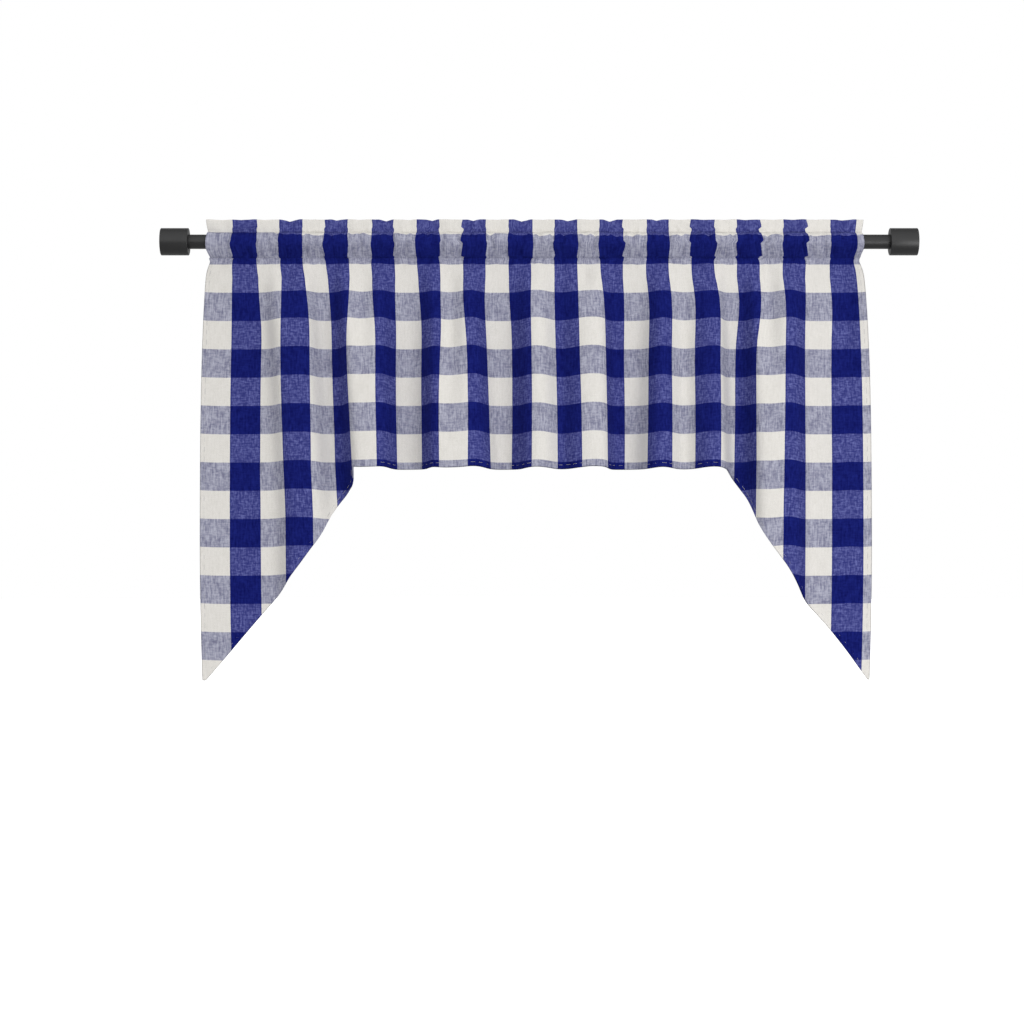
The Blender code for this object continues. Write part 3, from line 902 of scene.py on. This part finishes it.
def make_cloth(cloth, material):
    """One closed thin body: both sides of the strip, joined by a rounded rim all round."""
    rows, columns = cloth.v.shape
    index = np.arange(rows * columns).reshape(rows, columns)
    quads = [index[:-1, :-1], index[1:, :-1], index[1:, 1:], index[:-1, 1:]]
    faces = np.stack(quads, axis=-1).reshape(-1, 4)
    back_faces = faces[:, ::-1] + rows * columns
    places = np.array(rim_order(rows, columns))
    rim_at = tuple(places.T)
    outer, inner = cloth.outer[rim_at], cloth.inner[rim_at]
    inside = np.clip(places, 1, (rows - 2, columns - 2))
    away = cloth.middle[rim_at] - cloth.middle[tuple(inside.T)]
    away /= np.linalg.norm(away, axis=1, keepdims=True)
    thickness = np.linalg.norm(outer - inner, axis=1, keepdims=True)
    rim = (outer + inner) / 2 + away * thickness * RIM_ROUNDING
    rim_index = 2 * rows * columns + np.arange(len(places))
    following = np.roll(np.arange(len(places)), -1)
    rims = []
    for low, high in ((index[rim_at], rim_index), (rim_index, index[rim_at] + rows * columns)):
        rims.append(np.stack([low, high, high[following], low[following]], axis=1))
    points = np.concatenate([cloth.outer.reshape(-1, 3), cloth.inner.reshape(-1, 3), rim])
    data = bpy.data.meshes.new("gathered_cloth")
    all_faces = np.concatenate([faces, back_faces, *rims])
    data.from_pydata(points.tolist(), [], all_faces.tolist())
    u = np.broadcast_to(cloth.stations, cloth.v.shape)
    flat = np.stack([u, cloth.printed_v()], axis=-1)
    flat = np.concatenate([flat.reshape(-1, 2), flat.reshape(-1, 2), flat[rim_at]])
    corners = np.empty(len(data.loops), int)
    data.loops.foreach_get("vertex_index", corners)
    layer = data.uv_layers.new(name=FLAT_MAP)
    layer.data.foreach_set("uv", flat[corners].astype(np.float32).ravel())
    data.validate()
    data.shade_smooth()
    data.materials.append(material)
    return put_in_scene("gathered_cloth", data)


# ---- stitches ----


def stitch_lines(cloth):
    """Flat routes (u, v) of the hems' stitch lines: left side, lower edge, right side."""
    edge_u = cloth.stations
    hem = hem_drops(edge_u)
    slope = np.gradient(hem, edge_u)
    size = np.sqrt(1 + slope**2)
    across = edge_u + STITCH_LINE * slope / size
    down = hem - STITCH_LINE / size
    inside = (across > STITCH_LINE) & (across < FLAT_WIDTH - STITCH_LINE)
    dense = np.linspace(0, FLAT_WIDTH, EDGE_PLACES)
    to_edge = np.hypot(across[:, None] - dense, down[:, None] - hem_drops(dense)).min(axis=1)
    inside &= to_edge > KEPT_DISTANCE * STITCH_LINE
    lower = np.stack([across[inside], down[inside]], axis=1)
    sides = []
    for u, end in ((STITCH_LINE, lower[0]), (FLAT_WIDTH - STITCH_LINE, lower[-1])):
        sides.append(np.array([(u, SIDE_STITCHES_FROM), (u, end[1] - SIDE_STITCHES_END)]))
    return [sides[0], lower, sides[1]]


def dashes(route, seed):
    """Places (u, v) along each stitch of a flat route: found[share, stitch]."""
    random = np.random.default_rng(seed)
    length = np.concatenate([[0], np.cumsum(np.linalg.norm(np.diff(route, axis=0), axis=1))])
    starts = np.arange(STITCH_PITCH / 2, length[-1] - STITCH_PITCH, STITCH_PITCH)
    starts = starts + random.uniform(-STITCH_STRAY, STITCH_STRAY, len(starts)) * STITCH_PITCH
    ends = starts + STITCH_LENGTH * random.uniform(*STITCH_LENGTHS, len(starts))
    found = []
    for share in STITCH_SHARES:
        at = between(starts, ends, share)
        found.append(np.stack([np.interp(at, length, route[:, k]) for k in (0, 1)], axis=1))
    return np.array(found)


def make_stitches(name, cloth, material, inside):
    """Short lengths of thread that lie on the cloth and dive into it at both ends."""
    curve = bpy.data.curves.new(name, "CURVE")
    curve.dimensions = "3D"
    curve.bevel_depth = THREAD_RADIUS
    curve.bevel_resolution = THREAD_ROUNDING
    curve.use_fill_caps = True
    random = np.random.default_rng(STITCH_SEED)
    for seed, route in enumerate(stitch_lines(cloth)):
        points = dashes(route, seed)
        slanted = len(route) > 2
        for j in range(points.shape[1]):
            u, v = points[:, j, 0], points[:, j, 1]
            places, normals = cloth.place(u, v, inside)
            if inside:
                normals = -normals
            on_tail = eased((v[2] - TAIL_STITCHES_FROM) / TAIL_STITCHES_FADE_IN) if slanted else 0
            sink = max(TAIL_STITCHES_SINK * on_tail, STITCHES_SINK * random.uniform(0, 1))
            lifts = (np.array(STITCH_LIFTS) - sink) * THREAD_RADIUS
            places = places + normals * lifts[:, None]
            spline = curve.splines.new("POLY")
            spline.points.add(len(places) - 1)
            for point, place in zip(spline.points, places):
                point.co = (*place, 1)
    only(put_in_scene(name, curve))
    bpy.ops.object.convert(target="MESH")
    piece = bpy.context.object
    bpy.ops.object.shade_smooth()
    piece.data.materials.clear()
    piece.data.materials.append(material)
    return piece


# ---- rod and end caps ----


def only(piece):
    """Selects this object alone and makes it the active one."""
    bpy.ops.object.select_all(action="DESELECT")
    piece.select_set(True)
    bpy.context.view_layer.objects.active = piece


def add_bar(name, radius, low, high, material):
    """A cylinder along X between two places, finished at the origin."""
    bpy.ops.object.select_all(action="DESELECT")
    bpy.ops.mesh.primitive_cylinder_add(
        vertices=ROUND_SIDES, radius=radius, depth=high - low,
        location=((low + high) / 2, 0, 0), rotation=(0, math.pi / 2, 0),
    )
    bar = bpy.context.object
    bar.name = bar.data.name = name
    bpy.ops.object.transform_apply(location=True, rotation=True, scale=True)
    bar.data.materials.append(material)
    return bar


def select_parts(piece, kind, wanted):
    """Selects the faces or edges (kind FACE or EDGE) for which wanted(part) is true, in edit mode."""
    bpy.ops.object.mode_set(mode="EDIT")
    bpy.ops.mesh.select_mode(type=kind)
    bpy.ops.mesh.select_all(action="DESELECT")
    mesh = bmesh.from_edit_mesh(piece.data)
    for part in mesh.faces if kind == "FACE" else mesh.edges:
        part.select_set(bool(wanted(part)))
    bmesh.update_edit_mesh(piece.data)


def hollow_end(piece, side, wall, depth):
    """Sinks a round hole, with this wall left round it, into the end face on one side."""
    select_parts(piece, "FACE", lambda face: face.normal.x * side > END_NORMAL)
    bpy.ops.mesh.inset(thickness=wall)
    bpy.ops.mesh.extrude_region_move(TRANSFORM_OT_translate={"value": (-side * depth, 0, 0)})
    bpy.ops.object.mode_set(mode="OBJECT")


def smooth_finish(piece):
    bpy.ops.object.mode_set(mode="OBJECT")
    only(piece)
    bpy.ops.object.shade_smooth_by_angle(angle=math.radians(SMOOTH_UP_TO))


def make_rod(material):
    rod = add_bar("round_rod", ROD_RADIUS, ROD_LOW[0], ROD_HIGH[0], material)
    for side in (-1, 1):
        hollow_end(rod, side, ROD_WALL, ROD_BORE_SHOWN)
    smooth_finish(rod)
    return rod


def make_cap(node, side, material):
    """A cylinder cap with rounded rims and the socket that the rod sits in."""
    low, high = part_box(node)
    radius = high[2]
    cap = add_bar(node.replace("end_cap", "cylinder_cap"), radius, low[0], high[0], material)
    hollow_end(cap, -side, radius - ROD_RADIUS - CLEARANCE, CAP_SOCKET_DEPTH)

    def on_rim(edge):
        start, end = (corner.co for corner in edge.verts)
        outside = min(start.yz.length, end.yz.length) > radius - CAP_ROUNDING
        return outside and abs(start.x - end.x) < CAP_ROUNDING

    select_parts(cap, "EDGE", on_rim)
    bpy.ops.mesh.bevel(offset=CAP_ROUNDING, segments=CAP_ROUNDING_STEPS)
    smooth_finish(cap)
    return cap


# ---- materials ----


class Graph:
    """Short ways to add and link the nodes of one material, or of the world."""

    def __init__(self, owner, shader="Principled BSDF"):
        owner.use_nodes = True
        self.owner = owner
        self.tree = owner.node_tree
        self.shader = self.tree.nodes[shader]

    def finished(self, values):
        """Feeds the shader's own sockets, and gives back what the nodes belong to."""
        for name, value in values.items():
            self.feed(self.shader.inputs[name], value)
        return self.owner

    def node(self, kind, inputs=(), **settings):
        made = self.tree.nodes.new(kind)
        for key, value in settings.items():
            setattr(made, key, value)
        for key, value in dict(inputs).items():
            self.feed(made.inputs[key], value)
        return made

    def feed(self, socket, value):
        if isinstance(value, bpy.types.NodeSocket):
            self.tree.links.new(value, socket)
        else:
            socket.default_value = value

    def math(self, operation, *values):
        return self.node("ShaderNodeMath", enumerate(values), operation=operation).outputs[0]

    def times(self, first, second):
        return self.math("MULTIPLY", first, second)

    def plus(self, first, second):
        return self.math("ADD", first, second)

    def ramp(self, value, low, high, to_low=0.0, to_high=1.0, kind="SMOOTHSTEP"):
        """value from low..high to to_low..to_high, held at the ends."""
        inputs = enumerate((value, low, high, to_low, to_high))
        return self.node("ShaderNodeMapRange", inputs, interpolation_type=kind).outputs[0]

    def mix(self, share, first, second):
        return self.node("ShaderNodeMix", {0: share, 6: first, 7: second}, data_type="RGBA").outputs[2]

    def vector(self, x, y, z=0.0):
        return self.node("ShaderNodeCombineXYZ", enumerate((x, y, z))).outputs[0]

    def noise(self, place, scale, detail=2.0):
        inputs = {"Vector": place, "Scale": scale, "Detail": detail}
        return self.node("ShaderNodeTexNoise", inputs).outputs[0]

    def area(self, unevenness, area):
        """An area's darker and lighter yarn, mixed by how uneven the yarns are."""
        share = self.ramp(unevenness, area.low, area.high)
        return self.mix(share, colour(*area.dark), colour(*area.light))

    def bump(self, height, strength, distance):
        inputs = {"Height": height, "Strength": strength, "Distance": distance}
        return self.node("ShaderNodeBump", inputs).outputs[0]


def colour(red, green, blue):
    """Linear colour of an 8-bit sRGB one."""
    parts = []
    for value in (red, green, blue):
        share = value / 255
        parts.append(share / 12.92 if share <= 0.04045 else ((share + 0.055) / 1.055) ** 2.4)
    return (*parts, 1.0)


def buffalo_check():
    """Plain-woven cotton: navy and off-white stripes across each other, with slubs in the yarns."""
    graph = Graph(bpy.data.materials.new("buffalo_check_cotton"))
    times, plus = graph.times, graph.plus
    flat = graph.node("ShaderNodeUVMap", uv_map=FLAT_MAP).outputs[0]
    parts = graph.node("ShaderNodeSeparateXYZ", {0: flat}).outputs
    across, down = (times(part, 1 / MM) for part in (parts[0], parts[1]))

    def cloth_noise(per_mm_across, per_mm_down, layer=0.0, detail=2.0):
        place = graph.vector(times(across, per_mm_across), times(down, per_mm_down), layer)
        return graph.noise(place, 1.0, detail)

    def stripe(from_middle, width):
        """1 in the navy stripe, and 0 in the off-white one."""
        return graph.ramp(from_middle, width / 2 - STRIPE_EDGE, width / 2 + STRIPE_EDGE, 1.0, 0.0)

    stray = times(plus(cloth_noise(EDGE_STRAY_SCALE, EDGE_STRAY_SCALE), -0.5), EDGE_STRAY)
    from_navy_column = plus(across, -FIRST_COLUMN - COLUMN_WIDTH / 2)
    from_navy_column = plus(graph.math("PINGPONG", from_navy_column, COLUMN_WIDTH), stray)
    from_navy_row = plus(down, ROW_HEIGHT / 2 - FIRST_ROW)
    from_navy_row = plus(graph.math("PINGPONG", from_navy_row, ROW_HEIGHT), stray)
    column = stripe(from_navy_column, COLUMN_WIDTH)
    row = stripe(from_navy_row, ROW_HEIGHT)
    border = graph.ramp(from_navy_column, *(COLUMN_WIDTH / 2 - inwards for inwards in BORDER))

    noises = [cloth_noise(slub.across, slub.down, slub.layer, slub.detail) for slub in SLUBS]
    streak = heather = 0.0
    for noise, slub in zip(noises, SLUBS):
        streak = plus(streak, times(noise, slub.streak))
        heather = plus(heather, times(noise, slub.heather))
    weft_slub = noises[SLUBS.index(WEFT_SLUB)]

    blue = graph.area(heather, BLUE)
    blue = graph.mix(times(border, BORDER_SHARE), blue, colour(*NAVY.light))
    navy_row = graph.mix(column, graph.area(streak, GREY), graph.area(streak, NAVY))
    white_row = graph.mix(column, graph.area(streak, CREAM), blue)
    woven = graph.mix(row, white_row, navy_row)

    warp_wave, weft_wave = (graph.math("SINE", times(way, math.pi / YARN)) for way in (across, down))
    over = graph.ramp(times(warp_wave, weft_wave), -CROSSING, CROSSING)
    warp = times(graph.math("ABSOLUTE", warp_wave), over)
    weft = times(graph.math("ABSOLUTE", weft_wave), graph.math("SUBTRACT", 1.0, over))
    weave = plus(warp, weft)
    # painted shade: the yarn colour darkens in the gaps between yarns and lightens a little on their
    # crowns
    shade = graph.ramp(weave, *WEAVE_LEVELS, *WEAVE_PAINTED_SHADES)
    woven = graph.node("ShaderNodeVectorMath", {0: woven, "Scale": shade}, operation="SCALE")

    slubs = plus(times(streak, STREAK_RELIEF), times(weft_slub, WEFT_RELIEF))
    relief = plus(slubs, times(weave, YARN_RELIEF))
    return graph.finished({
        "Base Color": woven.outputs[0],
        "Normal": graph.bump(relief, WEAVE_BUMP, WEAVE_BUMP_HEIGHT),
        "Roughness": graph.ramp(streak, *NOISE_SPAN, *COTTON_ROUGHNESS),
        "Specular IOR Level": 0.08,
    })


def cotton_thread():
    """Twisted cream thread, coloured in greys darker than the cloth: painted shade of the dents that
    the stitches pull in.
    """
    graph = Graph(bpy.data.materials.new("cotton_thread"))
    twist = graph.noise(graph.node("ShaderNodeTexCoord").outputs["Object"], TWIST)
    return graph.finished({
        "Base Color": graph.area(twist, THREAD),
        "Normal": graph.bump(twist, TWIST_BUMP, FINE_RELIEF),
        "Roughness": THREAD_ROUGHNESS,
    })


def charcoal_paint():
    """Satin powder coat: fine orange peel, with a slightly uneven sheen."""
    graph = Graph(bpy.data.materials.new("charcoal_powder_coat"))
    place = graph.node("ShaderNodeTexCoord").outputs["Object"]
    peel = graph.noise(place, PEEL, 3.0)
    cloud = graph.noise(place, SHEEN)
    return graph.finished({
        "Base Color": graph.mix(cloud, colour(*PAINT_DARK), colour(*PAINT_LIGHT)),
        "Roughness": graph.ramp(cloud, *NOISE_SPAN, *PAINT_ROUGHNESS),
        "Normal": graph.bump(peel, PEEL_BUMP, FINE_RELIEF),
        "Metallic": 0.0,
    })


# ---- floor, light and camera ----


def make_floor():
    bpy.ops.object.select_all(action="DESELECT")
    bpy.ops.mesh.primitive_circle_add(
        vertices=FLOOR_SIDES, radius=FLOOR_RADIUS, fill_type="NGON", location=(0, 0, FLOOR_LEVEL)
    )
    floor = bpy.context.object
    floor.name = "pale_floor"
    graph = Graph(bpy.data.materials.new("pale_floor"))
    seen = graph.node("ShaderNodeLightPath").outputs["Is Camera Ray"]
    floor.data.materials.append(graph.finished({
        "Base Color": FLOOR_COLOUR,
        "Roughness": 0.9,
        "Emission Color": WHITE,
        "Emission Strength": graph.times(seen, FLOOR_GLOW),
    }))


def make_world():
    """White surroundings: full white to look at, and as light strongest from the front and back.
    The paint's sheen takes up only a part of the light from behind."""
    graph = Graph(bpy.data.worlds.new("white_studio"), "Background")
    direction = graph.node("ShaderNodeTexCoord").outputs["Generated"]
    back = graph.node("ShaderNodeSeparateXYZ", {0: direction}).outputs["Y"]
    ray = graph.node("ShaderNodeLightPath").outputs
    light = graph.ramp(graph.math("ABSOLUTE", back), 0.0, 1.0, SIDE_LIGHT, FRONT_LIGHT, "LINEAR")
    behind = graph.ramp(back, *BEHIND, 0.0, ray["Is Glossy Ray"], "LINEAR")
    light = graph.times(light, graph.ramp(behind, 0.0, 1.0, 1.0, BACK_REFLECTED, "LINEAR"))
    light = graph.ramp(ray["Is Camera Ray"], 0.0, 1.0, light, 1.0, "LINEAR")
    bpy.context.scene.world = graph.finished({"Color": WHITE, "Strength": light})


def add_softbox(name, place, target, size, power):
    light = bpy.data.lights.new(name, "AREA")
    light.shape = "SQUARE"
    light.size = size
    light.energy = power
    lamp = put_in_scene(name, light)
    lamp.location = place
    aim = Vector(target) - Vector(place)
    lamp.rotation_euler = aim.to_track_quat("-Z", "Y").to_euler()


def make_camera():
    data = bpy.data.cameras.new("front_camera")
    data.lens = LENS
    data.sensor_width = SENSOR
    camera = put_in_scene("front_camera", data)
    camera.location = CAMERA_PLACE
    camera.rotation_euler = (math.pi / 2, 0, 0)
    bpy.context.scene.camera = camera


def main():
    make_camera()
    make_floor()
    make_world()
    add_softbox("key", KEY_PLACE, KEY_TARGET, KEY_SIZE, KEY_POWER)
    view = bpy.context.scene.view_settings
    view.view_transform = "Standard"
    view.look = "None"

    paint = charcoal_paint()
    rod = make_rod(paint)
    caps = [make_cap(node, side, paint) for node, side in zip(CAP_NODES, (-1, 1))]
    cloth = Cloth()
    cotton = make_cloth(cloth, buffalo_check())
    thread = cotton_thread()
    stitches = [
        make_stitches("hem_stitches_front", cloth, thread, inside=False),
        make_stitches("hem_stitches_back", cloth, thread, inside=True),
    ]
    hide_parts("valance_cloth")
    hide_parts("curtain_rod")
    for cap, node in zip(caps, CAP_NODES):
        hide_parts(node)
    for piece in (cotton, rod, *caps, *stitches):
        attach(piece, "root")
    cut_area, cut_length = cut_size()


def cut_size():
    """Area and greatest length of the cloth as cut, with its hems and what the pocket takes."""
    stations = np.linspace(0, FLAT_WIDTH, CUT_PLACES)
    above = 2 * (HEADING_HEIGHT + POCKET_ARC) + TUCK_LEVELS[0]
    area = FLAT_WIDTH * (above + hem_drops(stations).mean())
    return area, above + LONGEST_DROP


main()
